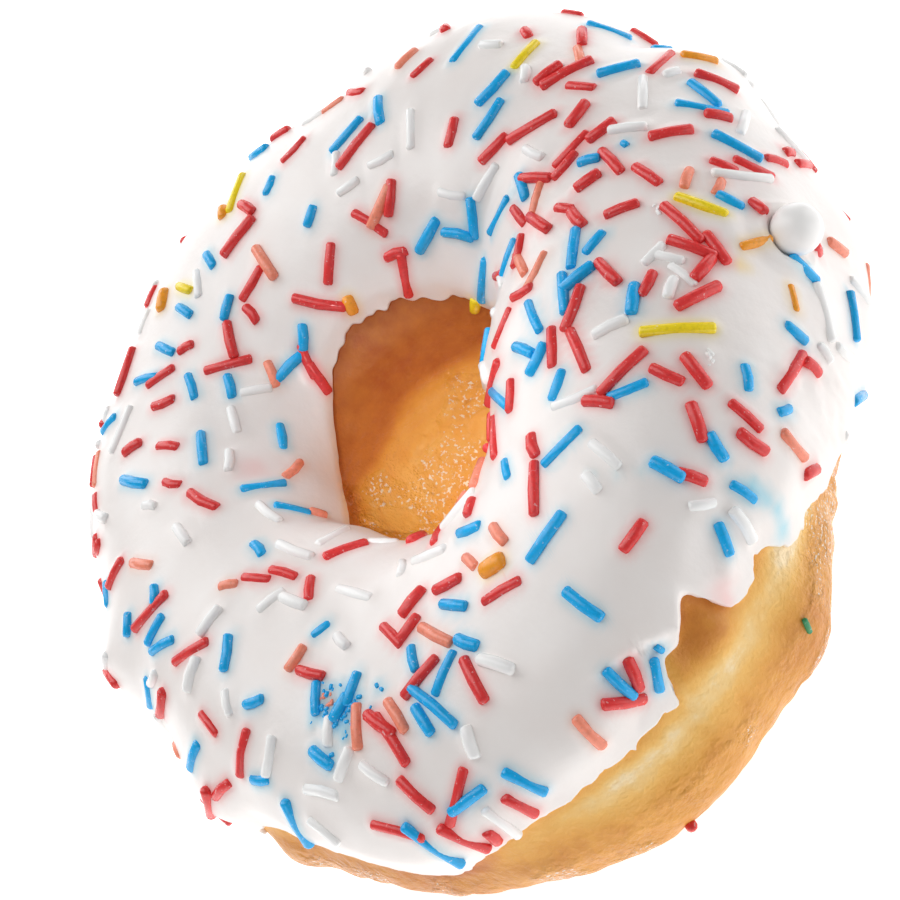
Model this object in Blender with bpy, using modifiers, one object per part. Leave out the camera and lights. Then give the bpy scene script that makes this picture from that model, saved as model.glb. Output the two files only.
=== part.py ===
"""A ring doughnut: one ring of fried dough, a cap of white icing and one sugar pearl.

The ring's section is a rounded, slightly squared oval that changes size round the ring. Every piece is
placed by two angles: the ring angle, round the doughnut, and the section angle, round its section, which is
0 at the outer side, 90 on the crown, 180 in the hole and 270 underneath.
"""

import math

import bmesh
import bpy
from mathutils import Vector

NAME = "sprinkle_frosted_doughnut"
MM = 0.001

# Sizes are in millimetres and angles in degrees. A wave is (waves round the ring, height, angle of a crest): one
# wave sets the rim off the hole's middle, two make it an oval and three give it soft corners. One wave of the
# crown's rise makes one side higher.
OUTER_RADIUS = 45.0
OUTER_WAVES = ((1, 2.5, 10), (2, 3.0, 65), (3, 1.5, 10))
HOLE_RADIUS = 11.5
HOLE_WAVES = ((2, 0.5, 35), (3, 1.0, 15))
CROWN_RISE = 16.0
CROWN_WAVES = ((1, 4.0, 0), (3, 1.0, 60))
BASE_DROP = 15.1
FLAT_CUT = 0.6
SQUARENESS = 2.3
# The lower wall of the hole is squarer, and its foot reaches into the hole.
FOOT_SQUARENESS = 3.5
FOOT_REACH = 7.0

# Each swell is (ring angle, section angle, reach round the ring, reach round the section, height).
SWELLS = (
    (331, -22, 8, 20, 1.7), (343, -9, 7, 20, 1.5), (308, -28, 10, 22, -1.8), (6, 24, 6, 20, 1.2),
    (15, 33, 5, 20, -1.6), (38, 44, 12, 20, 1.3), (66, 50, 9, 20, -0.9), (98, 44, 12, 25, 0.4),
    (172, 18, 8, 22, 2.4), (199, 2, 8, 25, 2.3), (208, -17, 5, 20, 1.3), (264, -32, 12, 20, 1.5),
    (286, -28, 7, 20, 1.6), (332, 150, 34, 35, 2.2), (180, 155, 14, 30, -1.6),
)

WAIST_LEVEL = 3.2
WAIST_HALF_HEIGHT = 4.0
WAIST_DEPTH = 0.8

# The icing reaches up to the tops of the sprinkles that lie in it.
SPRINKLE_RISE = 1.1
ICING_THICKNESS = 2.2
TOUCH_GAP = 0.4
RECESS = ICING_THICKNESS - SPRINKLE_RISE + TOUCH_GAP
RECESS_FULL = 3
RECESS_GONE = 28
# Each edge is a section angle. Each pull on it is (ring angle, reach round the ring, lift).
OUTER_EDGE = -9.0
OUTER_PULLS = ((271, 25, 25.0), (276, 4, 14.0), (332, 30, -20.0))
INNER_EDGE = 168.0
INNER_PULLS = ((85, 38, -21.0),)

PEARL_RADIUS = 2.5
PEARL_RING_ANGLE = 331
PEARL_SECTION_ANGLE = 30
PEARL_CENTRE_LIFT = 1.7
SEAT_GAP = 0.3

RING_STEPS = 72
SECTION_STEPS = 28
ICING_STEPS = 16
PEARL_SEGMENTS = 20
PEARL_RINGS = 12


def wave(size, waves, ring_angle):
    """A size at a ring angle in radians."""
    return size + sum(
        height * math.cos(count * (ring_angle - math.radians(crest))) for count, height, crest in waves
    )


def signed_power(value, power):
    return math.copysign(abs(value) ** power, value)


def degrees_between(angle, other):
    """Degrees from one angle in radians to another in degrees, from -180 to 180."""
    return math.degrees(math.remainder(angle - math.radians(other), math.tau))


def pulled(edge, pulls, ring_angle):
    """An edge's section angle in degrees at a ring angle in radians."""
    return edge + sum(
        lift * math.exp(-((degrees_between(ring_angle, centre) / reach) ** 2)) for centre, reach, lift in pulls
    )


def outer_edge(ring_angle):
    """The section angle in degrees where the icing ends on the outer side."""
    return pulled(OUTER_EDGE, OUTER_PULLS, ring_angle)


def inner_edge(ring_angle):
    """The section angle in degrees where the icing ends in the hole."""
    return pulled(INNER_EDGE, INNER_PULLS, ring_angle)


def swell(ring_angle, section_angle):
    """How far the doughnut swells out of its even shape, in millimetres."""
    total = 0.0
    for centre, section_centre, ring_reach, section_reach, height in SWELLS:
        away = (degrees_between(ring_angle, centre) / ring_reach) ** 2
        away += (degrees_between(section_angle, section_centre) / section_reach) ** 2
        total += height * math.exp(-away)
    return total


def section_point(ring_angle, section_angle, lift=0.0):
    """A point on the doughnut, or lifted off it along its normal, from two angles in radians."""
    outer = wave(OUTER_RADIUS, OUTER_WAVES, ring_angle)
    inner = wave(HOLE_RADIUS, HOLE_WAVES, ring_angle)
    half_width = (outer - inner) / 2
    out, up = math.cos(section_angle), math.sin(section_angle)
    half_height = wave(CROWN_RISE, CROWN_WAVES, ring_angle) if up > 0 else BASE_DROP
    lower_inside = out < 0 and up < 0
    power = 2 / (FOOT_SQUARENESS if lower_inside else SQUARENESS)
    foot = FOOT_REACH * (2 * out * up) ** 2 if lower_inside else 0.0
    normal = Vector((signed_power(out, 2 - power) / half_width, signed_power(up, 2 - power) / half_height))
    normal.normalize()
    radius = (outer + inner) / 2 + half_width * signed_power(out, power) + lift * normal.x - foot
    height = max(half_height * signed_power(up, power) + lift * normal.y, FLAT_CUT - BASE_DROP)
    return Vector((radius * math.cos(ring_angle), radius * math.sin(ring_angle), height)) * MM


def smooth_step(value):
    value = min(max(value, 0.0), 1.0)
    return value * value * (3 - 2 * value)


def dough_lift(ring_angle, section_angle):
    """How far the dough lies inside the doughnut's full shape: under the icing, and at the pale waist."""
    degrees = math.degrees(section_angle) % 360
    if degrees > 270:
        degrees -= 360
    past_edge = max(outer_edge(ring_angle) - degrees, degrees - inner_edge(ring_angle))
    bare = smooth_step((past_edge + RECESS_FULL) / (RECESS_GONE + RECESS_FULL))
    height = section_point(ring_angle, section_angle).z / MM
    waist = math.exp(-(((height - WAIST_LEVEL) / WAIST_HALF_HEIGHT) ** 2))
    return -RECESS * (1 - bare) - WAIST_DEPTH * waist * bare


def torus_angles(point, major_radius):
    ring_angle = math.atan2(point.y, point.x)
    return ring_angle, math.atan2(point.z, math.hypot(point.x, point.y) - major_radius)


def add_torus(name, section_steps):
    """A plain torus to mould, and its middle radius."""
    middle = (OUTER_RADIUS + HOLE_RADIUS) / 2 * MM
    bpy.ops.mesh.primitive_torus_add(
        major_segments=RING_STEPS,
        minor_segments=section_steps,
        major_radius=middle,
        minor_radius=(OUTER_RADIUS - HOLE_RADIUS) / 2 * MM,
    )
    ring = bpy.context.object
    ring.name = name
    return ring, middle


def make_dough():
    dough, middle = add_torus("dough", SECTION_STEPS)
    for vertex in dough.data.vertices:
        ring_angle, section_angle = torus_angles(vertex.co, middle)
        lift = dough_lift(ring_angle, section_angle) + swell(ring_angle, section_angle)
        vertex.co = section_point(ring_angle, section_angle, lift)
    dough.data.shade_smooth()
    return dough


def make_icing():
    """The upper half of a torus, moulded between the icing's two edges and given its thickness inwards."""
    icing, middle = add_torus("icing", 2 * ICING_STEPS)
    mesh = bmesh.new()
    mesh.from_mesh(icing.data)
    below = [vertex for vertex in mesh.verts if vertex.co.z < -0.1 * MM]
    bmesh.ops.delete(mesh, geom=below, context="VERTS")
    for vertex in mesh.verts:
        ring_angle, half_turn = torus_angles(vertex.co, middle)
        start, end = math.radians(outer_edge(ring_angle)), math.radians(inner_edge(ring_angle))
        section_angle = start + (end - start) * half_turn / math.pi
        lift = SPRINKLE_RISE + swell(ring_angle, section_angle)
        vertex.co = section_point(ring_angle, section_angle, lift)
    mesh.to_mesh(icing.data)
    mesh.free()
    icing.data.shade_smooth()
    shell = icing.modifiers.new("thickness", "SOLIDIFY")
    shell.thickness = ICING_THICKNESS * MM
    shell.offset = -1
    return icing


def add_ball(name, radius):
    bpy.ops.mesh.primitive_uv_sphere_add(segments=PEARL_SEGMENTS, ring_count=PEARL_RINGS, radius=radius * MM)
    ball = bpy.context.object
    ball.name = name
    ring_angle, section_angle = math.radians(PEARL_RING_ANGLE), math.radians(PEARL_SECTION_ANGLE)
    ball.location = section_point(ring_angle, section_angle, PEARL_CENTRE_LIFT)
    ball.data.shade_smooth()
    return ball


def cut_seat(icing, cutters):
    """The hollow that the pearl sits in."""
    seat = add_ball("pearl_seat_cutter", PEARL_RADIUS + SEAT_GAP)
    seat.hide_render = True
    seat.display_type = "WIRE"
    move_to(seat, cutters)
    cut = icing.modifiers.new("pearl_seat", "BOOLEAN")
    cut.operation = "DIFFERENCE"
    cut.object = seat
    return seat


def give_material(part, colour, roughness, metallic=0.0):
    material = bpy.data.materials.new(part.name)
    material.use_nodes = True
    surface = material.node_tree.nodes["Principled BSDF"]
    surface.inputs["Base Color"].default_value = (*colour, 1.0)
    surface.inputs["Roughness"].default_value = roughness
    surface.inputs["Metallic"].default_value = metallic
    part.data.materials.clear()
    part.data.materials.append(material)


def new_collection(name):
    collection = bpy.data.collections.new(name)
    bpy.context.scene.collection.children.link(collection)
    return collection


def move_to(part, collection):
    for holder in list(part.users_collection):
        holder.objects.unlink(part)
    collection.objects.link(part)


def centre_on_base(parts, everything):
    """Hangs everything from an empty, which puts the origin under the middle of the solids' box."""
    bpy.context.view_layer.update()
    corners = [part.matrix_world @ Vector(corner) for part in parts for corner in part.bound_box]
    low = [min(corner[axis] for corner in corners) for axis in range(3)]
    high = [max(corner[axis] for corner in corners) for axis in range(3)]
    holder = bpy.data.objects.new("doughnut_origin", None)
    bpy.context.scene.collection.objects.link(holder)
    holder.location = (-(low[0] + high[0]) / 2, -(low[1] + high[1]) / 2, -low[2])
    for part in everything:
        part.parent = holder


def main():
    for old in list(bpy.data.objects):
        bpy.data.objects.remove(old, do_unlink=True)
    solids = new_collection(NAME)
    cutters = new_collection("cutters")
    dough = make_dough()
    icing = make_icing()
    pearl = add_ball("sugar_pearl", PEARL_RADIUS)
    for part in (dough, icing, pearl):
        move_to(part, solids)
    give_material(dough, (0.64, 0.32, 0.08), 0.45)
    give_material(icing, (0.88, 0.87, 0.85), 0.3)
    give_material(pearl, (0.93, 0.93, 0.91), 0.25)
    seat = cut_seat(icing, cutters)
    centre_on_base((dough, icing, pearl), (dough, icing, pearl, seat))


main()
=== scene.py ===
# %% [markdown]
# # A sprinkle frosted doughnut
# A ring of fried dough, a thick cap of white icing, a few hundred sugar sprinkles and one sugar pearl. The
# imported pearl's solid gives the place of the ring. Each solid is then replaced by a finer piece of the same size,
# and the sprinkles, crumbs and the torn film of icing are added on top.

# %% Load the imported solids
import math
import random

import bmesh
import bpy
import numpy as np
from mathutils import Matrix, Vector


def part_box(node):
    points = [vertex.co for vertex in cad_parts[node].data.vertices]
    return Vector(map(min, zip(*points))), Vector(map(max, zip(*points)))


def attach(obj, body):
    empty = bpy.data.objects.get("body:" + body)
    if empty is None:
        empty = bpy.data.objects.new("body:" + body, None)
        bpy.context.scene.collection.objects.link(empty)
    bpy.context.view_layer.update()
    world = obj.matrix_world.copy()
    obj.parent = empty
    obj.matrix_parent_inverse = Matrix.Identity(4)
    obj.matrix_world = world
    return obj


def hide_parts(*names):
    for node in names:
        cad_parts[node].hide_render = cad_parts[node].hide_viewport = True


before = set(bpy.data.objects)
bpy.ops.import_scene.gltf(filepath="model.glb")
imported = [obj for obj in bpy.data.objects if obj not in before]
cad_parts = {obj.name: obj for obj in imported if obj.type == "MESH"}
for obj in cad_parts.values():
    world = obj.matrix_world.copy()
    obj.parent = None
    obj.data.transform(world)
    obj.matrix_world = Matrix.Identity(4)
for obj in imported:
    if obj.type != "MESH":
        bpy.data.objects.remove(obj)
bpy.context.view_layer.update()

# %% [markdown]
# ## The shape that everything follows
# A real doughnut is not a torus: its rim wanders in and out, one side rises higher, and its section is a
# slightly squared oval. All of that can be said with waves round the ring, so every piece is placed by two
# angles. The ring angle runs round the doughnut. The section angle runs round its section: 0 at the outer
# side, 90 on the crown, 180 in the hole and 270 underneath. A lift moves a point off that shape. The lengths
# here are in millimetres, and become metres when a mesh is made.

# %% Waves round the ring
MM = 0.001
# Each wave is (waves round the ring, height, angle of a crest): one wave sets the rim off the hole's middle,
# two make it an oval and three give it soft corners. One wave of the crown's rise makes one side higher.
OUTER_RADIUS = (45.0, ((1, 2.5, 10), (2, 3.0, 65), (3, 1.5, 10)))
HOLE_RADIUS = (11.5, ((2, 0.5, 35), (3, 1.0, 15)))
CROWN_RISE = (16.0, ((1, 4.0, 0), (3, 1.0, 60)))
BASE_DROP = 15.1
FLAT_CUT = 0.6
SQUARENESS = 2.3
# The lower wall of the hole is squarer, and its foot reaches into the hole.
FOOT_SQUARENESS = 3.5
FOOT_REACH = 7.0


def wave(measure, ring):
    size, waves = measure
    total = np.full_like(ring, size)
    for count, height, crest in waves:
        total = total + height * np.cos(count * (ring - math.radians(crest)))
    return total


def signed_power(value, power):
    return np.sign(value) * np.abs(value) ** power


def on_ring(ring, section, lift=0.0):
    """Points in millimetres about the ring's middle, from two angles in radians and a lift."""
    ring, section = np.asarray(ring, float), np.asarray(section, float)
    outer, inner = wave(OUTER_RADIUS, ring), wave(HOLE_RADIUS, ring)
    half_width = (outer - inner) / 2
    out, up = np.cos(section), np.sin(section)
    half_height = np.where(up > 0, wave(CROWN_RISE, ring), BASE_DROP)
    lower_inside = (out < 0) & (up < 0)
    power = 2 / np.where(lower_inside, FOOT_SQUARENESS, SQUARENESS)
    foot = np.where(lower_inside, FOOT_REACH * (2 * out * up) ** 2, 0.0)
    normal_out = signed_power(out, 2 - power) / half_width
    normal_up = signed_power(up, 2 - power) / half_height
    length = np.hypot(normal_out, normal_up)
    radius = (outer + inner) / 2 + half_width * signed_power(out, power) + lift * normal_out / length - foot
    height = np.maximum(half_height * signed_power(up, power) + lift * normal_up / length, FLAT_CUT - BASE_DROP)
    return np.stack([radius * np.cos(ring), radius * np.sin(ring), height], axis=-1)


# The pearl's solid tells where the ring's middle lies in the frame.
PEARL_RADIUS = 2.5
PEARL_PLACE = (math.radians(331), math.radians(30), 1.7)
pearl_low, pearl_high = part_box("sugar_pearl")
ring_middle = np.array((pearl_low + pearl_high) / 2) - on_ring(*PEARL_PLACE) * MM
print("ring's middle in the frame, mm:", np.round(ring_middle / MM, 2))

# %% [markdown]
# ## Unevenness
# Dough and sugar are never smooth, so the same soft random bumps are used all over, in different sizes. They
# are sums of value noise, which is worked out for whole arrays of points at once.

# %% Soft random bumps
HASH_A, HASH_B, HASH_C, HASH_D = 73856093, 19349663, 83492791, 1274126177
LOW_BITS = 0xFFFFFFFF


def bumps(points, size, seed=0):
    """Soft random heights from -1 to 1 at points in millimetres, with lumps of about this size."""
    scaled = points / size + 7.31 * (seed + 1)
    cell = np.floor(scaled).astype(np.int64)
    part = scaled - cell
    part = part * part * (3 - 2 * part)
    total = np.zeros(len(points))
    for corner in range(8):
        step = np.array([corner & 1, corner >> 1 & 1, corner >> 2])
        x, y, z = (cell + step).T
        mixed = (x * HASH_A ^ y * HASH_B ^ z * HASH_C ^ seed * 7919) & LOW_BITS
        mixed = ((mixed ^ mixed >> 13) * HASH_D) & LOW_BITS
        height = (mixed >> 8 & 0xFFFF) / 32767.5 - 1
        weight = np.where(step, part, 1 - part).prod(axis=1)
        total += height * weight
    return total


def smooth_step(low, high, value):
    part = np.clip((value - low) / (high - low), 0, 1)
    return part * part * (3 - 2 * part)


def turn_between(ring, centre_degrees):
    """Degrees from a ring angle in degrees to each ring angle in radians, from -180 to 180."""
    return (np.degrees(ring) - centre_degrees + 180) % 360 - 180


# %% [markdown]
# ## Where the icing ends
# Icing runs down a doughnut in lobes, and stops in a line that is ragged where it is thin and smooth where a
# thick roll of it set. The outline needs only a few points round the ring, joined by a smooth curve, and the
# fine raggedness is bumps.

# %% The icing's edges
# Points of the outer edge: ring angle and section angle, both in degrees.
OUTER_EDGE = (
    (15, -14), (45, -12), (90, -10), (135, -8), (190, -12), (203, -10), (208, 2), (215, 0), (225, -2), (233, -7),
    (239, -2), (245, 9), (250, 12), (260, 14), (267, 14), (270, 16), (271, 25), (274, 27), (276, 32), (279, 34),
    (281, 20), (283, 14), (289, 15), (292, 6), (300, 0), (308, -16), (316, -29), (340, -29), (360, -22),
)
# Points of the edge in the hole, which is pulled up on one side and hidden in the hole on the other.
INNER_EDGE = (
    (20, 165), (45, 158), (85, 147), (100, 149), (115, 160), (135, 174), (200, 171), (280, 167), (340, 168),
)
# The thin film of icing below a set lip: points of the lip's line.
LIP_LINE = ((262, 47), (270, 40), (276, 30))


def through(points, ring):
    """A smooth closed curve through (ring angle, value) points in degrees, read at ring angles in radians."""
    at = np.array([point[0] for point in points], float)
    value = np.array([point[1] for point in points], float)
    at = np.concatenate([at[-2:] - 360, at, at[:3] + 360])
    value = np.concatenate([value[-2:], value, value[:3]])
    slope = np.gradient(value, at)
    degrees = (np.degrees(ring) - at[1]) % 360 + at[1]
    right = np.clip(np.searchsorted(at, degrees), 1, len(at) - 1)
    left = right - 1
    gap = at[right] - at[left]
    part = np.clip((degrees - at[left]) / gap, 0, 1)
    ends = value[left] * (1 + 2 * part) * (1 - part) ** 2 + value[right] * part ** 2 * (3 - 2 * part)
    return ends + gap * (slope[left] * part * (1 - part) ** 2 - slope[right] * part ** 2 * (1 - part))


def along_edge(ring, radius, size, seed):
    """Bumps that change only round the ring, for an edge of this radius."""
    return bumps(np.stack([radius * np.cos(ring), radius * np.sin(ring), 0 * ring], axis=-1), size, seed)


def near_ring(ring, centre, reach):
    """1 at a ring angle in degrees, falling to 0 beyond its reach."""
    return np.exp(-((turn_between(ring, centre) / reach) ** 4))


def outer_edge(ring):
    ragged = 0.8 * along_edge(ring, 45, 3.0, 1) + 1.1 * along_edge(ring, 45, 1.1, 2)
    teeth = np.maximum(along_edge(ring, 45, 0.7, 3), 0) ** 2 * 4
    thick = near_ring(ring, 276, 4.5)
    torn = near_ring(ring, 256, 17) + near_ring(ring, 286, 6)
    return through(OUTER_EDGE, ring) + ragged * (1 - thick) - teeth * torn


def inner_edge(ring):
    ragged = 1.5 * along_edge(ring, 12, 2.0, 5) + 1.8 * along_edge(ring, 12, 0.8, 6)
    return through(INNER_EDGE, ring) + ragged * (0.25 + 0.75 * near_ring(ring, 60, 50))


# %% [markdown]
# ## The ring of dough
# The dough is fried on one side and then the other, so it has a pale sunken waist at half height, where the
# fat never reached, and a bumpy brown rim below it. A profile spun round the hole gives the closed ring in one
# step. Its points are then moved to the shape, with most of them where the dough shows.

# %% Spin a ring and read its angles
RING_ROUND = 28.0
RING_TUBE = 17.0


def rolled_ring(steps, section_steps):
    """A closed torus as a bmesh: a flat grid rolled up both ways, and joined where its borders meet."""
    mesh = bmesh.new()
    bmesh.ops.create_grid(mesh, x_segments=steps, y_segments=section_steps, size=0.5)
    for point in mesh.verts:
        ring, around = (point.co.x + 0.5) * math.tau, (point.co.y + 0.5) * math.tau
        radius = RING_ROUND + RING_TUBE * math.cos(around)
        point.co = (radius * math.cos(ring), radius * math.sin(ring), RING_TUBE * math.sin(around))
    border = [point for point in mesh.verts if point.is_boundary]
    bmesh.ops.remove_doubles(mesh, verts=border, dist=0.001)
    bmesh.ops.recalc_face_normals(mesh, faces=mesh.faces[:])
    return mesh


def to_object(name, mesh):
    data = bpy.data.meshes.new(name)
    mesh.to_mesh(data)
    mesh.free()
    data.shade_smooth()
    piece = bpy.data.objects.new(name, data)
    bpy.context.scene.collection.objects.link(piece)
    return piece


def points_of(piece):
    flat = np.zeros(3 * len(piece.data.vertices), np.float32)
    piece.data.vertices.foreach_get("co", flat)
    return flat.reshape(-1, 3).astype(float)


def place_points(piece, points):
    """Gives a piece its points, from millimetres about the ring's middle to metres in the frame."""
    piece.data.vertices.foreach_set("co", (points * MM + ring_middle).astype(np.float32).ravel())
    piece.data.update()


def torus_angles(points):
    ring = np.arctan2(points[:, 1], points[:, 0])
    around = np.arctan2(points[:, 2], np.hypot(points[:, 0], points[:, 1]) - RING_ROUND)
    return ring, around % math.tau


def set_attribute(piece, name, values):
    kind = "FLOAT" if values.ndim == 1 else "FLOAT_COLOR"
    attribute = piece.data.attributes.new(name, kind, "POINT")
    if kind == "FLOAT_COLOR":
        values = np.concatenate([values, np.ones((len(values), 1))], axis=1)
    attribute.data.foreach_set("value" if kind == "FLOAT" else "color", values.astype(np.float32).ravel())


# %% Swells and dents
# Each is (ring angle, section angle, reach round the ring, reach round the section, height): four angles in
# degrees and a height in millimetres.
FORM_SWELLS = (
    (331, -22, 8, 20, 1.7), (343, -9, 7, 20, 1.5), (308, -28, 10, 22, -1.8), (6, 24, 6, 20, 1.2),
    (15, 33, 5, 20, -1.6), (38, 44, 12, 20, 1.3), (66, 50, 9, 20, -0.9), (98, 44, 12, 25, 0.4),
    (172, 18, 8, 22, 2.4), (199, 2, 8, 25, 2.3), (208, -17, 5, 20, 1.3), (264, -32, 12, 20, 1.5),
    (286, -28, 7, 20, 1.6), (332, 150, 34, 35, 2.2), (180, 155, 14, 30, -1.6),
)
DOUGH_SWELLS = ((277, 28, 4.0, 9, -0.9), (110, 225, 35, 16, 2.0))


def signed_section(section):
    """Section angle in degrees, from -90 underneath to 270, so that both edges of the icing are in one run."""
    return (np.degrees(section) + 90) % 360 - 90


def swell(swells, ring, section):
    total = np.zeros(np.broadcast(ring, section).shape)
    for at_ring, at_section, ring_reach, section_reach, height in swells:
        away = (turn_between(ring, at_ring) / ring_reach) ** 2
        away = away + ((signed_section(section) - at_section) / section_reach) ** 2
        total = total + height * np.exp(-away)
    return total


# %% The dough's relief
ICING_DEPTH = 1.7
WAIST_LEVEL = 3.2
WAIST_HALF_HEIGHT = 3.6
WAIST_DEPTH = 0.9


def dough_base(ring, section):
    """The dough's lift without its roughness: sunk under the icing and at the waist."""
    degrees = signed_section(section)
    past_edge = np.maximum(through(OUTER_EDGE, ring) - degrees, degrees - through(INNER_EDGE, ring))
    bare = smooth_step(-2, 24, past_edge)
    height = on_ring(ring, section)[..., 2]
    waist = np.exp(-(((height - WAIST_LEVEL) / WAIST_HALF_HEIGHT) ** 2))
    sunk = -ICING_DEPTH * (1 - bare) - WAIST_DEPTH * waist * bare
    return sunk + swell(FORM_SWELLS, ring, section) + swell(DOUGH_SWELLS, ring, section)


def dough_roughness(ring, section, points):
    """Blisters and wrinkles: coarse on the browned rim, fine in the hole, and nearly none at the waist."""
    height = points[:, 2]
    degrees = signed_section(section)
    inside = smooth_step(110, 170, degrees) * smooth_step(285, 230, degrees)
    browned = 1 - np.exp(-(((height - WAIST_LEVEL) / 5.0) ** 2))
    low = smooth_step(-2, -9, height)
    upright = np.stack([points[:, 0], points[:, 1], 0.35 * points[:, 2]], axis=-1)
    wrinkles = 0.16 * bumps(upright, 2.2, 11) + 0.10 * bumps(upright, 1.1, 12)
    blisters = 0.34 * bumps(points, 5.0, 13) + 0.16 * bumps(points, 2.2, 14)
    crinkles = near_ring(ring, 313, 16) * smooth_step(12, -8, degrees)
    crinkles = crinkles * (0.55 * bumps(upright, 3.0, 16) + 0.30 * bumps(upright, 1.4, 17))
    pores = 0.06 * bumps(points, 1.0, 15)
    outside_relief = blisters * (0.25 + 0.75 * low) + wrinkles * browned * (0.4 + 0.6 * low) + crinkles
    dimples = 0.10 * bumps(points, 1.5, 18)
    inside_relief = 0.5 * blisters + 0.6 * wrinkles * browned + dimples * (1 - browned + low)
    return outside_relief * (1 - inside) + inside_relief * inside + pores


# %% How brown the crust is, with one painted highlight
def browning_and_painted_highlight(ring, section, points):
    """0 at the pale waist, 0.5 golden, 1 deep brown, kept low at ring 297 for a painted highlight."""
    height = points[:, 2]
    inside = smooth_step(100, 140, signed_section(section))
    soft = bumps(points, 6.0, 21)
    fine = bumps(points, 1.3, 22)
    level = WAIST_LEVEL + 0.8 * soft
    above = smooth_step(level - 0.8, level + 3.0, height)
    below = smooth_step(level - 1.0, level - 5.5, height)
    under = smooth_step(-8.0, -14.0, height)
    outside = 0.04 + 0.46 * above + 0.50 * below + 0.30 * under + 0.2 * near_ring(ring, 277, 5) * above
    outside = outside + near_ring(ring, 225, 28) * (0.12 + 0.25 * above) + 0.12 * near_ring(ring, 286, 5)
    # A painted highlight: the crust is paler round ring 297, above the low rim.
    outside = outside - 0.35 * near_ring(ring, 297, 7) * (1 - below)
    under_icing = smooth_step(9, 1, through(OUTER_EDGE, ring) - signed_section(section))
    outside = outside + 0.34 * under_icing * near_ring(ring, 252, 24) * (1 - above)
    crust_level = level - 4 - 2.5 * smooth_step(80, 125, np.degrees(ring) % 360)
    hole = 0.36 + 0.54 * smooth_step(crust_level - 1.5, crust_level + 2.0, height) + 0.25 * under
    return np.clip(outside * (1 - inside) + hole * inside + 0.06 * soft + 0.05 * fine, 0, 1)


def blisters_and_painted_glints(ring, section, points):
    """Where frying left small glossy blisters and where glints are painted: the low rim, the torn side and the foot of
    the hole.
    """
    height = points[:, 2]
    degrees = signed_section(section)
    rim = smooth_step(-1.0, -5.0, height) * smooth_step(60, 0, degrees)
    torn = near_ring(ring, 308, 18) * smooth_step(20, 5, degrees)
    foot = smooth_step(120, 150, degrees) * smooth_step(WAIST_LEVEL, WAIST_LEVEL - 6, height)
    patches = smooth_step(-0.5, 0.5, bumps(points, 3.5, 23))
    return np.clip((rim + torn + foot) * (0.35 + 0.65 * patches) + 0.12, 0, 1)


# %% Make the dough
DOUGH_STEPS = 640
DOUGH_SECTION_STEPS = 150
COVERED_SHARE = 0.1
COVERED_ARC = (30, 135)


def make_dough():
    piece = to_object("dough_ring", rolled_ring(DOUGH_STEPS, DOUGH_SECTION_STEPS))
    ring, around = torus_angles(points_of(piece))
    start, end = COVERED_ARC
    section = np.radians(np.interp(around / math.tau, [0, COVERED_SHARE, 1], [start, end, start + 360]))
    base = on_ring(ring, section, dough_base(ring, section))
    lift = dough_base(ring, section) + dough_roughness(ring, section, base)
    place_points(piece, on_ring(ring, section, lift))
    # How brown the crust is, with one painted highlight at ring 297.
    set_attribute(piece, "browning_and_painted_highlight", browning_and_painted_highlight(ring, section, base))
    # Blisters, which also set where glints are painted on the crust.
    set_attribute(piece, "blisters_and_painted_glints", blisters_and_painted_glints(ring, section, base))
    return piece


dough = make_dough()
print("dough faces:", len(dough.data.polygons))

# %% [markdown]
# ## The cap of icing
# The icing could be a solidified copy of the dough's top, but its lip would then be a flat cut. Here the spun
# ring is flattened round the dough instead: some of its points run over the top, some round each rolled lip
# and the rest back underneath, so the cap is closed and its edge is round.

# %% The icing's section
LIP_STEPS = 7


def flattened_section(index, count):
    """For each step round the section: side (1 top, -1 underside), share of the way from the outer edge to the
    inner edge, and the angle round the nearest lip (90 degrees where there is no lip)."""
    top_steps = int(count * 0.84)
    under_steps = count - top_steps
    top = index <= top_steps
    step = np.where(top, index, count - index)
    steps = np.where(top, top_steps, under_steps)
    from_end = np.minimum(step, steps - step)
    lip_angle = np.radians(90) * np.clip(from_end / LIP_STEPS, 0, 1)
    share = np.clip((step - LIP_STEPS) / (steps - 2 * LIP_STEPS), 0, 1)
    return np.where(top, 1.0, -1.0), share, lip_angle


DEGREE_LENGTH = 0.29
ICING_SWELLS = (
    (330, 50, 3.5, 9, 0.8), (337, 30, 5.5, 12, 0.6), (325, 14, 6, 12, 0.7), (316, 2, 5, 14, 0.6),
    (17, 125, 5, 28, -0.7), (6, 120, 5, 28, 0.4), (30, 125, 6, 26, 0.3), (110, 120, 9, 25, -0.3),
    (150, 120, 12, 25, 0.4), (300, 60, 14, 26, -0.3), (285, 36, 6, 7, -0.5),
)
FLAKY = ((313, 6, 9, 20, 0.30), (330, 50, 4, 9, 0.16), (308, 24, 7, 10, 0.14), (285, 26, 4, 6, 0.15))


def below_lip(ring, section):
    """1 on the thin film below the set lip, 0 above it."""
    degrees = signed_section(section)
    line = through(LIP_LINE, ring)
    there = smooth_step(261, 267, np.degrees(ring) % 360) * smooth_step(276, 274, np.degrees(ring) % 360)
    return there * smooth_step(line + 1.5, line - 2.5, degrees)


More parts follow.
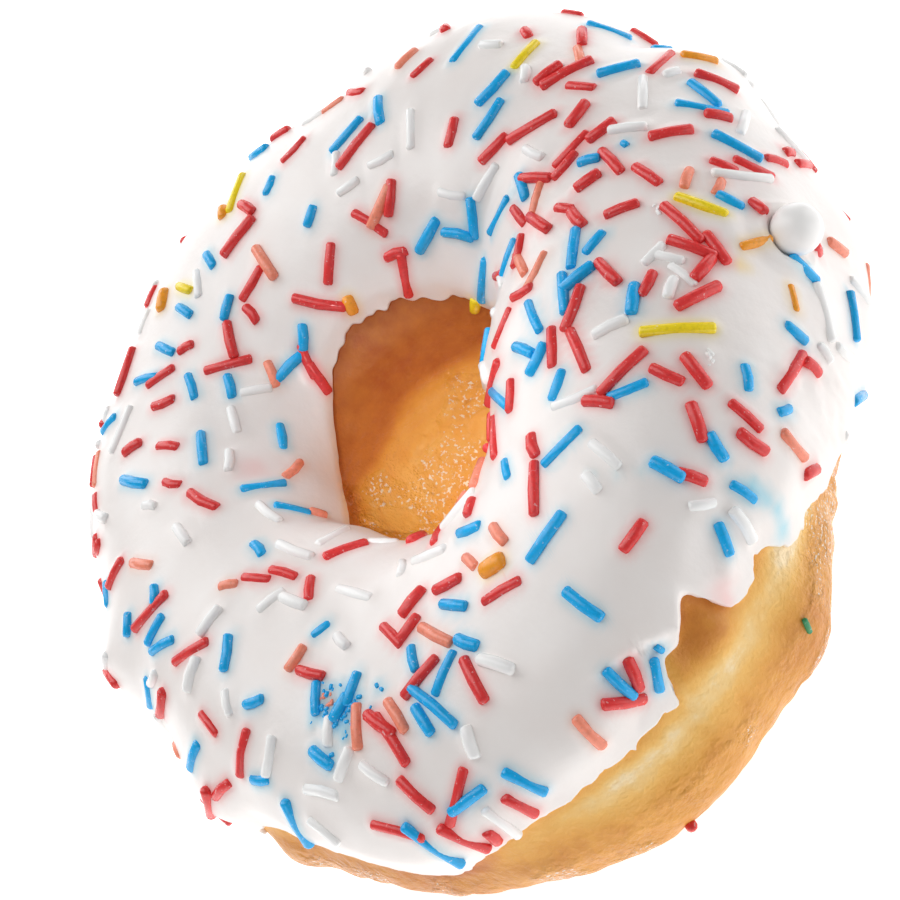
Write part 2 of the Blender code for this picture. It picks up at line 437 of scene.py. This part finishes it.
def icing_top(ring, section):
    """The lift of the icing's top surface."""
    points = on_ring(ring, section)
    lumps = 0.22 * bumps(points, 11.0, 31) + 0.10 * bumps(points, 4.5, 32) + 0.02 * bumps(points, 1.6, 33)
    flakes = swell(FLAKY, ring, section) * (bumps(points, 1.7, 34) + 0.7 * bumps(points, 0.9, 35))
    degrees = signed_section(section)
    from_edge = (degrees - through(OUTER_EDGE, ring)) * DEGREE_LENGTH
    thick = np.clip(near_ring(ring, 276, 4.5) + near_ring(ring, 345, 40), 0, 1)
    edge_depth = 1.15 - 0.95 * thick
    taper = 6.0 - 5.0 * thick
    sunk = edge_depth * (1 - smooth_step(0, 1, from_edge / taper)) + 0.9 * below_lip(ring, section)
    into_hole = (through(INNER_EDGE, ring) - degrees) * DEGREE_LENGTH
    sunk = sunk + 0.6 * (1 - smooth_step(0, 1, into_hole / 2.5))
    form = swell(FORM_SWELLS, ring, section) + swell(ICING_SWELLS, ring, section)
    from_pearl = np.linalg.norm(points - on_ring(*PEARL_PLACE[:2]), axis=-1)
    collar = 0.8 * np.exp(-(((from_pearl - 3.1) / 0.8) ** 2))
    return lumps + flakes + form + collar - sunk


# %% Make the icing
ICING_STEPS = 980
ICING_SECTION_STEPS = 98
EMBED = 0.12


def flattened_ring(name, steps, section_steps, start, end, top, lip_radius):
    """A closed cap between two edges, given as functions of the ring angle in degrees. Returns the piece, the
    angles of its points and its side."""
    piece = to_object(name, rolled_ring(steps, section_steps))
    ring, around = torus_angles(points_of(piece))
    index = np.rint(around / math.tau * section_steps).astype(int) % section_steps
    side, share, lip_angle = flattened_section(index, section_steps)
    low, high = start(ring), end(ring)
    roll = lip_radius(ring) / DEGREE_LENGTH
    out_lip = roll * (1 - np.cos(lip_angle))
    near_start = share < 0.5
    flat = low + roll + (high - low - 2 * roll) * share
    degrees = np.where(near_start, low + out_lip, high - out_lip)
    degrees = np.where(lip_angle < np.radians(89.9), degrees, flat)
    near_edge = smooth_step(9, 2, degrees - low) * (1 - near_ring(ring, 276, 4.0))
    flat_points = on_ring(ring, np.radians(degrees))
    ring = ring + near_edge * 0.008 * bumps(flat_points, 0.9, 36)
    degrees = degrees + near_edge * 1.0 * bumps(flat_points, 0.9, 37)
    section = np.radians(degrees)
    under = dough_base(ring, section) - EMBED
    over = np.maximum(top(ring, section), under + 0.3)
    middle, half = (over + under) / 2, (over - under) / 2
    lift = middle + side * half * np.sin(lip_angle)
    return piece, ring, section, lift, side


def icing_lip_radius(ring):
    return 0.35 + 0.6 * near_ring(ring, 276, 4.5)


icing, icing_ring, icing_angle, icing_lift, icing_side = flattened_ring(
    "icing_cap", ICING_STEPS, ICING_SECTION_STEPS, outer_edge, inner_edge, icing_top, icing_lip_radius
)
place_points(icing, on_ring(icing_ring, icing_angle, icing_lift))
print("icing faces:", len(icing.data.polygons))

# %% [markdown]
# ## Sprinkles
# Sprinkles are short rods of sugar paste, cut from a strand and tumbled, so their ends are blunt and round.
# They could all be laid by hand, which is slow, or all be strewn by a random number generator, which loses the
# groups that give a doughnut its face. Here the ones that are seen first, such as the long yellow rods and the
# crossed groups, are listed one by one in round numbers, and the rest are strewn between them. The generator has
# a fixed seed, so each run gives the same doughnut.

# %% Kinds of sprinkle
COLOURS = {
    "red": (0.83, 0.050, 0.050),
    "blue": (0.008, 0.45, 0.92),
    "coral": (1.0, 0.31, 0.20),
    "white": (1.0, 0.995, 0.985),
    "orange": (1.0, 0.38, 0.03),
    "yellow": (1.0, 0.77, 0.02),
    "green": (0.03, 0.30, 0.12),
}
ROD_RADIUS = 0.60
# Rods placed one by one: kind, ring angle, section angle and heading in degrees, and length in millimetres. A
# heading is turned from the way round the ring towards the hole.
LONG_YELLOW = (
    ("yellow", 311, 65, 105, 7.0), ("yellow", 334, 60, 55, 5.5), ("yellow", 25, 75, 90, 4.5),
    ("yellow", 86, 70, 45, 5.5), ("yellow", 105, 77, 90, 3.0),
)
CROSSED_IN_FRONT = (
    ("blue", 244, 69, 125, 6.5), ("red", 243, 79, 30, 5.0), ("blue", 242, 85, 95, 3.0), ("blue", 247, 77, 45, 4.5),
    ("coral", 238, 70, 115, 4.0), ("blue", 242, 66, 110, 3.5), ("red", 251, 70, 95, 5.0),
    ("white", 255, 70, 130, 4.0), ("coral", 247, 88, 130, 5.0), ("red", 238, 93, 130, 4.0),
    ("red", 242, 93, 40, 3.0), ("red", 243, 101, 40, 3.5), ("blue", 252, 92, 140, 3.5), ("blue", 252, 81, 130, 3.0),
    ("red", 252, 99, 165, 3.5), ("red", 261, 86, 160, 4.5),
)
CROSSED_BELOW = (
    ("red", 238, 42, 125, 4.5), ("red", 243, 37, 50, 6.0), ("blue", 244, 35, 15, 4.5), ("blue", 237, 19, 115, 7.0),
    ("red", 241, 19, 120, 5.5), ("red", 234, 29, 160, 5.5), ("red", 244, 15, 90, 2.5), ("white", 246, 20, 100, 5.0),
    ("red", 249, 24, 110, 4.0), ("blue", 251, 32, 120, 4.5), ("coral", 260, 33, 95, 4.0),
)
BROKEN_BLUE = (
    ("blue", 223, 76, 100, 3.5), ("blue", 230, 80, 70, 3.5), ("blue", 228, 74, 60, 3.0), ("coral", 231, 68, 90, 4.5),
    ("red", 235, 68, 140, 4.0), ("coral", 217, 86, 70, 3.0), ("red", 221, 83, 0, 3.5), ("white", 226, 66, 90, 3.0),
)
NEAR_THE_TORN_EDGE = (
    ("blue", 266, 37, 95, 4.0), ("red", 268, 35, 70, 3.5), ("red", 265, 31, 135, 4.5), ("blue", 269, 63, 100, 4.5),
    ("blue", 272, 84, 175, 5.5), ("red", 277, 94, 35, 5.5), ("blue", 286, 91, 150, 5.0), ("blue", 277, 109, 55, 2.5),
    ("red", 280, 60, 170, 3.5), ("blue", 290, 58, 90, 3.5), ("blue", 296, 45, 55, 3.0), ("blue", 293, 32, 90, 3.0),
    ("red", 299, 34, 85, 3.5), ("white", 283, 79, 70, 2.5), ("coral", 266, 97, 90, 3.0),
)
RIGHT_OF_THE_HOLE = (
    ("red", 331, 66, 35, 6.0), ("red", 326, 63, 65, 5.0), ("red", 326, 55, 35, 4.0), ("red", 322, 59, 150, 3.5),
    ("red", 317, 60, 130, 5.0), ("blue", 333, 98, 175, 5.0), ("blue", 332, 92, 135, 3.0), ("blue", 324, 96, 120, 4.0),
    ("blue", 321, 100, 10, 5.0), ("red", 316, 96, 165, 5.0), ("red", 307, 102, 10, 4.5), ("red", 306, 93, 30, 5.5),
    ("red", 302, 80, 145, 6.0), ("blue", 299, 77, 125, 4.0), ("red", 303, 66, 80, 3.5), ("red", 305, 57, 50, 4.0),
    ("red", 298, 53, 35, 4.0), ("red", 302, 38, 75, 4.0), ("blue", 316, 80, 0, 3.5), ("red", 319, 76, 160, 3.0),
    ("white", 318, 69, 170, 2.5), ("red", 323, 88, 35, 4.0), ("white", 325, 75, 140, 3.0), ("white", 324, 70, 70, 3.0),
    ("red", 295, 118, 10, 3.5), ("blue", 304, 107, 155, 3.5),
)
ROUND_THE_PEARL = (
    ("white", 340, 44, 90, 6.5), ("blue", 346, 43, 55, 5.5), ("red", 342, 39, 65, 4.5), ("red", 342, 50, 60, 3.0),
    ("blue", 354, 50, 65, 5.5), ("blue", 357, 46, 20, 4.5), ("red", 352, 46, 75, 3.0), ("blue", 335, 50, 55, 3.0),
    ("blue", 327, 24, 75, 4.0), ("blue", 317, 25, 80, 3.0), ("red", 334, 41, 20, 2.5),
)
OVER_THE_HOLE = (
    ("red", 13, 95, 50, 6.0), ("red", 5, 86, 105, 3.5), ("red", 358, 84, 90, 3.5), ("blue", 354, 90, 60, 2.5),
    ("red", 350, 85, 15, 4.5), ("red", 349, 92, 90, 3.0), ("red", 343, 76, 30, 4.0), ("red", 350, 65, 80, 4.5),
    ("white", 355, 77, 55, 4.0), ("red", 15, 77, 65, 6.0), ("red", 18, 80, 75, 3.5), ("red", 10, 79, 25, 3.5),
    ("blue", 8, 66, 65, 4.5), ("blue", 24, 97, 80, 5.0), ("red", 20, 105, 65, 4.0), ("red", 32, 102, 95, 3.5),
    ("red", 2, 105, 35, 4.0), ("red", 349, 110, 25, 4.5), ("blue", 4, 110, 160, 3.5), ("coral", 342, 120, 20, 4.5),
)
BEYOND_THE_HOLE = (
    ("red", 58, 95, 30, 6.0), ("blue", 60, 90, 30, 5.0), ("red", 91, 88, 175, 5.5), ("coral", 91, 103, 80, 5.0),
    ("red", 76, 124, 45, 4.5), ("red", 49, 119, 75, 4.0), ("coral", 53, 120, 45, 5.0), ("blue", 38, 135, 45, 4.5),
    ("red", 118, 108, 120, 5.5), ("red", 112, 105, 40, 4.5), ("blue", 124, 112, 30, 3.0), ("blue", 105, 98, 15, 3.0),
    ("red", 123, 83, 125, 4.0), ("red", 121, 57, 0, 6.0), ("blue", 98, 82, 75, 3.0), ("blue", 109, 83, 80, 3.0),
    ("blue", 100, 132, 35, 3.0), ("blue", 17, 150, 70, 6.0), ("red", 52, 145, 75, 5.0), ("red", 109, 146, 70, 4.0),
)
PLACED = (
    LONG_YELLOW + CROSSED_IN_FRONT + CROSSED_BELOW + BROKEN_BLUE + NEAR_THE_TORN_EDGE + RIGHT_OF_THE_HOLE
    + ROUND_THE_PEARL + OVER_THE_HOLE + BEYOND_THE_HOLE
)
# Broken bits: the same, then the radius and the rise in radiuses. The first two lie on the bare dough.
BITS = (
    ("red", 261, -31, 80, 2.4, 0.6, 2.3), ("green", 286, -9, 75, 1.8, 0.3, 4.0), ("blue", 272, 33, 100, 1.1, 0.35, 0.6),
    ("blue", 352, 80, 20, 1.0, 0.4, 0.2), ("orange", 262, 92, 160, 2.9, 0.95, 0.1), ("orange", 78, 140, 75, 2.2, 0.7, 0.1),
    ("orange", 90, 72, 60, 2.0, 0.65, 0.1), ("orange", 108, 66, 30, 3.0, 0.8, 0.1), ("orange", 328, 42, 120, 3.8, 0.5, 0.1),
    ("orange", 322, 27, 20, 2.8, 0.4, 0.1), ("orange", 5, 37, 65, 4.0, 0.6, 0.1), ("yellow", 28, 162, 60, 2.5, 0.6, 0.1),
)
STREWN = {"red": 82, "blue": 54, "coral": 26, "white": 92}
# Sprinkles are fewer here: ring angle, section angle, reach round the ring and round the section, share lost.
SPARSE = (
    (278, 50, 20, 30, 0.93), (255, 40, 12, 26, 0.6), (70, 105, 14, 14, 0.8), (312, 40, 10, 16, 0.7),
    (225, 12, 24, 16, 0.7), (270, 75, 10, 14, 0.5),
)
FEWEST_INSIDE = 150
ROD_LENGTHS = (2.4, 3.2, 3.6, 4.2, 5.4)

random.seed(11)
rods = []


def icing_spot(ring, section):
    """The point on the icing's top at two angles in radians."""
    ring, section = np.array([ring]), np.array([section])
    return on_ring(ring, section, icing_top(ring, section))[0]


def lay_rod(kind, ring_degrees, section_degrees, heading, length, radius=ROD_RADIUS, rise=0.0, bend=0.0):
    """Adds one rod, with its ends on the icing. Its rise is in radiuses."""
    ring, section = math.radians(ring_degrees), math.radians(section_degrees)
    spot, step = icing_spot(ring, section), 0.01
    round_length = np.linalg.norm(on_ring(ring + step, section) - on_ring(ring, section)) / step
    over_length = np.linalg.norm(on_ring(ring, section + step) - on_ring(ring, section)) / step
    reach = length / 2 - 0.6 * radius
    ring_step = math.cos(math.radians(heading)) * reach / round_length
    section_step = math.sin(math.radians(heading)) * reach / over_length
    start = icing_spot(ring - ring_step, section - section_step)
    end = icing_spot(ring + ring_step, section + section_step)
    axis = (end - start) / max(np.linalg.norm(end - start), 1e-6)
    outward = on_ring(ring, section, 1.0) - on_ring(ring, section)
    normal = outward - axis * outward.dot(axis)
    normal /= np.linalg.norm(normal)
    centre = (start + end) / 4 + spot / 2 + normal * radius * rise
    rods.append(
        dict(kind=kind, centre=centre, axis=axis, normal=normal, half=length / 2, radius=radius, bend=bend)
    )


# %% Strew the rest
def crowded(ring, section, gap):
    spot = on_ring(ring, section)
    return any(np.linalg.norm(rod["centre"] - spot) < gap for rod in rods)


def falls_here(ring, section):
    """Chance, so that the bare patches stay nearly bare."""
    loss = sum(
        share * math.exp(
            -(turn_between(ring, at_ring) / ring_reach) ** 2 - ((math.degrees(section) - at_section) / reach) ** 2
        )
        for at_ring, at_section, ring_reach, reach, share in SPARSE
    )
    return random.random() > loss


def free_spot(attempts=60):
    """A random place on the icing, clear of the bare patches and, if it can be, of the other rods."""
    for attempt in range(attempts):
        ring = random.uniform(0, math.tau)
        lowest = through(OUTER_EDGE, np.array([ring]))[0] + 5
        section = math.radians(random.uniform(lowest, FEWEST_INSIDE))
        if falls_here(ring, section) and not crowded(ring, section, random.choice((1.8, 2.8, 3.4))):
            break
    return math.degrees(ring), math.degrees(section)


def strew():
    kinds = [kind for kind, number in STREWN.items() for _ in range(number)]
    random.shuffle(kinds)
    for kind in kinds:
        ring_degrees, section_degrees = free_spot()
        lay_rod(
            kind, ring_degrees, section_degrees, random.uniform(0, 180),
            random.choice(ROD_LENGTHS) * random.uniform(0.85, 1.15), radius=ROD_RADIUS * random.uniform(0.88, 1.1),
            rise=random.uniform(-0.2, 0.35), bend=random.uniform(-0.25, 0.25),
        )


for kind, ring_degrees, section_degrees, heading, length in PLACED:
    lay_rod(
        kind, ring_degrees, section_degrees, heading, length, radius=ROD_RADIUS * random.uniform(0.9, 1.1),
        rise=random.uniform(-0.1, 0.4), bend=random.uniform(-0.15, 0.15),
    )
for kind, ring_degrees, section_degrees, heading, length, radius, rise in BITS:
    lay_rod(kind, ring_degrees, section_degrees, heading, length, radius=radius, rise=rise)
print("placed by hand:", len(rods))
strew()
print("sprinkles in all:", len(rods), "longest, mm:", round(2 * max(rod["half"] for rod in rods), 1))


# %% Crumbs
# Broken sprinkles lie in little heaps: kind, ring angle, section angle, spread in millimetres and number.
CRUMBS = (
    ("blue", 227, 73, 1.4, 30), ("blue", 230, 76, 0.8, 12), ("coral", 225, 76, 0.6, 6), ("white", 335, 73, 0.5, 8),
    ("white", 308, 53, 0.5, 6), ("white", 223, 24, 0.4, 2), ("blue", 235, 80, 0.3, 2),
)


def drop_crumbs():
    for kind, ring_degrees, section_degrees, spread, number in CRUMBS:
        for _ in range(number):
            away = random.gauss(0, spread), random.gauss(0, spread)
            radius = random.uniform(0.13, 0.26)
            lay_rod(
                kind, ring_degrees + away[0] / 0.6, section_degrees + away[1] / DEGREE_LENGTH,
                random.uniform(0, 180), 2.6 * radius, radius=radius, rise=0.4,
            )


drop_crumbs()
print("sprinkles and crumbs:", len(rods))


# %% Make each kind as one piece
ROD_SIDES = 10
ROD_ROWS = 6


def rod_points(rod, local):
    """Turns the points of a unit ball into a blunt, slightly bent rod in its place."""
    x, y, z = local.T
    out = np.hypot(x, y)
    fuller = np.where(out > 1e-6, np.sqrt(out) / np.maximum(out, 1e-6), 0)
    along = z * rod["radius"] * 0.9 + np.sign(np.round(z, 3)) * (rod["half"] - rod["radius"] * 0.9)
    sideways = x * fuller * rod["radius"] + rod["bend"] * (along / rod["half"]) ** 2
    upward = y * fuller * rod["radius"]
    across = np.cross(rod["normal"], rod["axis"])
    return (
        rod["centre"] + along[:, None] * rod["axis"] + sideways[:, None] * across + upward[:, None] * rod["normal"]
    )


def ball_template():
    mesh = bmesh.new()
    bmesh.ops.create_uvsphere(mesh, u_segments=ROD_SIDES, v_segments=ROD_ROWS, radius=1)
    data = bpy.data.meshes.new("ball")
    mesh.to_mesh(data)
    mesh.free()
    return data


def make_sprinkles(kind):
    chosen = [rod for rod in rods if rod["kind"] == kind]
    template = ball_template()
    mesh = bmesh.new()
    for _ in chosen:
        mesh.from_mesh(template)
    piece = to_object(f"sprinkles_{kind}", mesh)
    local = points_of(piece).reshape(len(chosen), -1, 3)
    points = np.concatenate([rod_points(rod, ball) for rod, ball in zip(chosen, local)])
    place_points(piece, points)
    bpy.data.meshes.remove(template)
    return piece


sprinkles = {kind: make_sprinkles(kind) for kind in COLOURS}
print("sprinkle faces:", sum(len(piece.data.polygons) for piece in sprinkles.values()))

# %% [markdown]
# ## Dye that bleeds into the icing
# Wet icing takes up some of a sprinkle's colour, so each rod has a soft halo. It is painted on the icing's
# points from their distance to each rod.

# %% Paint the halos
HALO = {
    "red": (1.0, 0.70, 0.70),
    "blue": (0.66, 0.88, 0.97),
    "coral": (1.0, 0.86, 0.82),
    "orange": (1.0, 0.87, 0.65),
    "yellow": (1.0, 0.94, 0.65),
    "white": (1.0, 1.0, 1.0),
    "green": (0.9, 1.0, 0.9),
}
HALO_REACH = 0.5


# Dye that ran: ring angle, section angle, reach in millimetres and colour.
PINK_DYE = (1.0, 0.80, 0.80)
BLUE_DYE = (0.50, 0.84, 0.97)
FAINT_BLUE = (0.84, 0.95, 0.98)
ORANGE_DYE = (1.0, 0.85, 0.50)
STAINS = (
    (155, 125, 1.9, PINK_DYE), (342, 47, 3.0, (1.0, 0.92, 0.93)), (282, 25, 1.3, PINK_DYE), (281, 20, 1.0, PINK_DYE),
    (294, 30, 1.1, BLUE_DYE), (294, 24, 1.0, BLUE_DYE), (294, 18, 1.0, BLUE_DYE), (293, 12, 1.2, BLUE_DYE),
    (324, 46, 0.9, ORANGE_DYE), (284, 80, 0.6, FAINT_BLUE), (286, 73, 0.6, FAINT_BLUE), (288, 66, 0.6, FAINT_BLUE),
)


def distance_to_rod(points, rod):
    away = points - rod["centre"]
    along = np.clip(away @ rod["axis"], -rod["half"] + rod["radius"], rod["half"] - rod["radius"])
    return np.linalg.norm(away - along[:, None] * rod["axis"], axis=1) - rod["radius"]


def paint_halos(points):
    tint = np.ones((len(points), 3))
    mound = np.zeros(len(points))
    for rod in rods:
        near = np.flatnonzero(np.linalg.norm(points - rod["centre"], axis=1) < rod["half"] + 4)
        if not len(near):
            continue
        gap = np.maximum(distance_to_rod(points[near], rod), 0)
        strength = np.exp(-((gap / HALO_REACH) ** 1.5))[:, None]
        tint[near] *= 1 - strength * (1 - np.array(HALO[rod["kind"]]))
        mound[near] = np.maximum(mound[near], np.exp(-((gap / 0.6) ** 2)))
    for ring_degrees, section_degrees, reach, colour in STAINS:
        spot = icing_spot(math.radians(ring_degrees), math.radians(section_degrees))
        away = np.linalg.norm(points - spot, axis=1) / reach
        strength = np.exp(-(away ** 2) * (1 + 0.5 * bumps(points, 1.0, 38)))[:, None]
        tint *= 1 - strength * (1 - np.array(colour))
    return tint, mound


icing_points = on_ring(icing_ring, icing_angle, icing_lift)
tint, mound = paint_halos(icing_points)
icing_lift = icing_lift + np.where(icing_side > 0, 0.15 * mound, 0)
place_points(icing, on_ring(icing_ring, icing_angle, icing_lift))
set_attribute(icing, "dye", tint)


# %% [markdown]
# ## The sugar pearl

# %% Make the pearl
def make_pearl():
    mesh = bmesh.new()
    bmesh.ops.create_icosphere(mesh, subdivisions=5, radius=PEARL_RADIUS)
    piece = to_object("pearl_ball", mesh)
    local = points_of(piece)
    uneven = 1 + 0.006 * bumps(local, 2.5, 51)
    place_points(piece, on_ring(*PEARL_PLACE) + local * uneven[:, None])
    return piece


pearl = make_pearl()


# %% [markdown]
# ## Finishes

# %% Node helpers
def new_material(name):
    material = bpy.data.materials.new(name)
    material.use_nodes = True
    return material, material.node_tree.nodes, material.node_tree.links


def object_noise(nodes, links, scale, detail=3.0, roughness=0.5):
    """Noise on Object coordinates. The scale is in lumps per metre."""
    place = nodes.new("ShaderNodeTexCoord")
    noise = nodes.new("ShaderNodeTexNoise")
    noise.inputs["Scale"].default_value = scale
    noise.inputs["Detail"].default_value = detail
    noise.inputs["Roughness"].default_value = roughness
    links.new(place.outputs["Object"], noise.inputs["Vector"])
    return noise.outputs["Fac"]


def colour_ramp(nodes, links, value, stops):
    ramp = nodes.new("ShaderNodeValToRGB")
    elements = ramp.color_ramp.elements
    while len(elements) < len(stops):
        elements.new(0.5)
    for element, (place, colour) in zip(elements, stops):
        element.position = place
        element.color = (*colour, 1)
    links.new(value, ramp.inputs["Fac"])
    return ramp.outputs["Color"]


def add_bump(nodes, links, height, distance, strength=1.0, normal=None):
    bump = nodes.new("ShaderNodeBump")
    bump.inputs["Distance"].default_value = distance
    bump.inputs["Strength"].default_value = strength
    links.new(height, bump.inputs["Height"])
    if normal is not None:
        links.new(normal, bump.inputs["Normal"])
    return bump.outputs["Normal"]


def math_node(nodes, links, operation, first, second):
    node = nodes.new("ShaderNodeMath")
    node.operation = operation
    for socket, value in zip(node.inputs, (first, second)):
        if isinstance(value, (int, float)):
            socket.default_value = value
        else:
            links.new(value, socket)
    return node.outputs[0]


# %% Dough crust, with painted glints
def dough_finish():
    material, nodes, links = new_material("fried_crust")
    shader = nodes["Principled BSDF"]
    # The browning carries one painted highlight, at ring 297.
    brown = nodes.new("ShaderNodeAttribute")
    brown.attribute_name = "browning_and_painted_highlight"
    # The blisters also set where the painted glints go.
    blisters = nodes.new("ShaderNodeAttribute")
    blisters.attribute_name = "blisters_and_painted_glints"
    grain = object_noise(nodes, links, 700, 5, 0.6)
    shift = math_node(nodes, links, "MULTIPLY_ADD", grain, 0.26)
    shift.node.inputs[2].default_value = -0.13
    level = math_node(nodes, links, "ADD", brown.outputs["Fac"], shift)
    crust = colour_ramp(nodes, links, level, (
        (0.0, (0.99, 0.78, 0.47)),
        (0.08, (0.95, 0.65, 0.26)),
        (0.25, (0.92, 0.52, 0.12)),
        (0.5, (0.83, 0.38, 0.055)),
        (0.75, (0.66, 0.23, 0.032)),
        (1.0, (0.46, 0.11, 0.016)),
    ))
    # Painted glints: pale specks mixed into the crust's colour, standing in for highlights.
    painted_glint_noise = object_noise(nodes, links, 2600, 2, 0.55)
    painted_glints = math_node(nodes, links, "MULTIPLY", painted_glint_noise, blisters.outputs["Fac"])
    painted_glint_share = nodes.new("ShaderNodeMapRange")
    painted_glint_share.inputs["From Min"].default_value = 0.56
    painted_glint_share.inputs["From Max"].default_value = 0.64
    painted_glint_share.inputs["To Max"].default_value = 0.85
    links.new(painted_glints, painted_glint_share.inputs["Value"])
    mixed = nodes.new("ShaderNodeMix")
    mixed.data_type = "RGBA"
    links.new(painted_glint_share.outputs["Result"], mixed.inputs["Factor"])
    links.new(crust, mixed.inputs[6])
    # The colour of the painted glints.
    mixed.inputs[7].default_value = (1.0, 0.93, 0.78, 1)
    links.new(mixed.outputs[2], shader.inputs["Base Color"])
    rough = nodes.new("ShaderNodeMapRange")
    rough.inputs["To Min"].default_value = 0.50
    rough.inputs["To Max"].default_value = 0.22
    links.new(blisters.outputs["Fac"], rough.inputs["Value"])
    links.new(rough.outputs["Result"], shader.inputs["Roughness"])
    pores = object_noise(nodes, links, 1700, 4, 0.65)
    pebbles = object_noise(nodes, links, 800, 3, 0.55)
    relief = math_node(nodes, links, "MULTIPLY", pebbles, blisters.outputs["Fac"])
    fine = add_bump(nodes, links, pores, 0.0003, 0.5)
    links.new(add_bump(nodes, links, relief, 0.0011, 0.9, fine), shader.inputs["Normal"])
    return material


# %% Icing
def icing_finish():
    material, nodes, links = new_material("white_icing")
    shader = nodes["Principled BSDF"]
    dye = nodes.new("ShaderNodeAttribute")
    dye.attribute_name = "dye"
    cloud = object_noise(nodes, links, 220, 3, 0.5)
    base = colour_ramp(nodes, links, cloud, ((0.3, (0.93, 0.87, 0.84)), (0.7, (0.95, 0.905, 0.88))))
    mixed = nodes.new("ShaderNodeMix")
    mixed.data_type = "RGBA"
    mixed.blend_type = "MULTIPLY"
    mixed.inputs["Factor"].default_value = 1.0
    links.new(base, mixed.inputs[6])
    links.new(dye.outputs["Color"], mixed.inputs[7])
    links.new(mixed.outputs[2], shader.inputs["Base Color"])
    fine = object_noise(nodes, links, 1200, 3, 0.5)
    links.new(add_bump(nodes, links, fine, 0.00008, 0.5), shader.inputs["Normal"])
    shader.inputs["Roughness"].default_value = 0.32
    return material


# %% Sugar
def sugar_finish(name, colour, frost=0.35, speck=0.86):
    material, nodes, links = new_material(f"sugar_{name}")
    shader = nodes["Principled BSDF"]
    specks = object_noise(nodes, links, 2600, 2, 0.6)
    pale = tuple(min(1.0, 0.35 + 0.65 * channel) for channel in colour)
    dark = tuple(speck * channel for channel in colour)
    tone = colour_ramp(nodes, links, specks, ((0.30, dark), (0.5, colour), (0.66, colour), (0.72, pale)))
    links.new(tone, shader.inputs["Base Color"])
    rough = object_noise(nodes, links, 2200, 2, 0.5)
    links.new(add_bump(nodes, links, rough, 0.00007, frost), shader.inputs["Normal"])
    shader.inputs["Roughness"].default_value = 0.27
    return material


def finish_piece(piece, material, node=None):
    piece.data.materials.clear()
    piece.data.materials.append(material)
    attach(piece, "root")
    if node:
        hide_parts(node)


finish_piece(dough, dough_finish(), "dough")
finish_piece(icing, icing_finish(), "icing")
finish_piece(pearl, sugar_finish("pearl", (1.0, 0.985, 0.97), frost=0.03, speck=0.99), "sugar_pearl")
for kind, piece in sprinkles.items():
    white = kind == "white"
    finish = sugar_finish(kind, COLOURS[kind], frost=0.1 if white else 0.35, speck=0.985 if white else 0.86)
    finish_piece(piece, finish)

# %% [markdown]
# ## Floor, light and camera

# %% Floor
bpy.ops.mesh.primitive_plane_add(size=6)
floor = bpy.context.object
floor.name = "floor"
material, nodes, links = new_material("pale_floor")
nodes["Principled BSDF"].inputs["Base Color"].default_value = (0.9, 0.9, 0.9, 1)
nodes["Principled BSDF"].inputs["Roughness"].default_value = 0.9
nodes["Principled BSDF"].inputs["Emission Color"].default_value = (1, 1, 1, 1)
nodes["Principled BSDF"].inputs["Emission Strength"].default_value = 0.9
floor.data.materials.append(material)

# %% Light
world = bpy.data.worlds.new("studio")
bpy.context.scene.world = world
world.use_nodes = True
world.node_tree.nodes["Background"].inputs["Color"].default_value = (1, 1, 1, 1)
world.node_tree.nodes["Background"].inputs["Strength"].default_value = 0.1


def area_light(name, direction, distance, size, power):
    data = bpy.data.lights.new(name, "AREA")
    data.shape = "DISK"
    data.size = size
    data.energy = power
    light = bpy.data.objects.new(name, data)
    bpy.context.scene.collection.objects.link(light)
    way = Vector(direction).normalized()
    light.location = Vector(ring_middle) + way * distance
    light.rotation_euler = way.to_track_quat("Z", "Y").to_euler()
    return light


def towards(azimuth, height):
    """A direction, from its azimuth and its height above the floor in degrees."""
    turn, lift = math.radians(azimuth), math.radians(height)
    return (math.cos(turn) * math.cos(lift), math.sin(turn) * math.cos(lift), math.sin(lift))


area_light("key", towards(118, 40), 0.6, 0.45, 1.3)
area_light("overhead", towards(130, 78), 0.6, 0.5, 1.45)
for azimuth, power in ((0, 0.6), (50, 0.5), (95, 0.6), (180, 0.15), (225, 0.5), (315, 0.5)):
    area_light(f"low_{azimuth}", towards(azimuth, 12), 0.6, 0.35, power)

# A narrow beam from high on the near side reaches the far wall of the hole.
beam_data = bpy.data.lights.new("hole_beam", "SPOT")
beam_data.energy = 14
beam_data.spot_size = math.radians(2.4)
beam_data.spot_blend = 0.7
beam_data.shadow_soft_size = 0.015
beam = bpy.data.objects.new("hole_beam", beam_data)
bpy.context.scene.collection.objects.link(beam)
beam_way = Vector(towards(262, 53))
beam.location = Vector(ring_middle) + Vector((0, 5, -1)) * MM + beam_way * 0.5
beam.rotation_euler = beam_way.to_track_quat("Z", "Y").to_euler()

# %% Camera
CAMERA_DISTANCE = 250
CAMERA_TILT = math.radians(45)
CAMERA_ROLL = math.radians(43.4)
CAMERA_LENS = 98
CAMERA_SHIFT = (0.2, 0.7, 0.0)
back = Vector((0, -math.sin(CAMERA_TILT), math.cos(CAMERA_TILT)))
right = Vector((1, 0, 0))
up = right.cross(-back)
turned_right = right * math.cos(CAMERA_ROLL) - up * math.sin(CAMERA_ROLL)
turned_up = right * math.sin(CAMERA_ROLL) + up * math.cos(CAMERA_ROLL)
camera_data = bpy.data.cameras.new("camera")
camera_data.lens = CAMERA_LENS
camera_data.clip_start = 0.01
camera = bpy.data.objects.new("camera", camera_data)
bpy.context.scene.collection.objects.link(camera)
camera.matrix_world = Matrix.Translation(
    Vector(ring_middle) + Vector(CAMERA_SHIFT) * MM + back * CAMERA_DISTANCE * MM
) @ Matrix((turned_right, turned_up, back)).transposed().to_4x4()
bpy.context.scene.camera = camera
bpy.context.scene.view_settings.view_transform = "Standard"
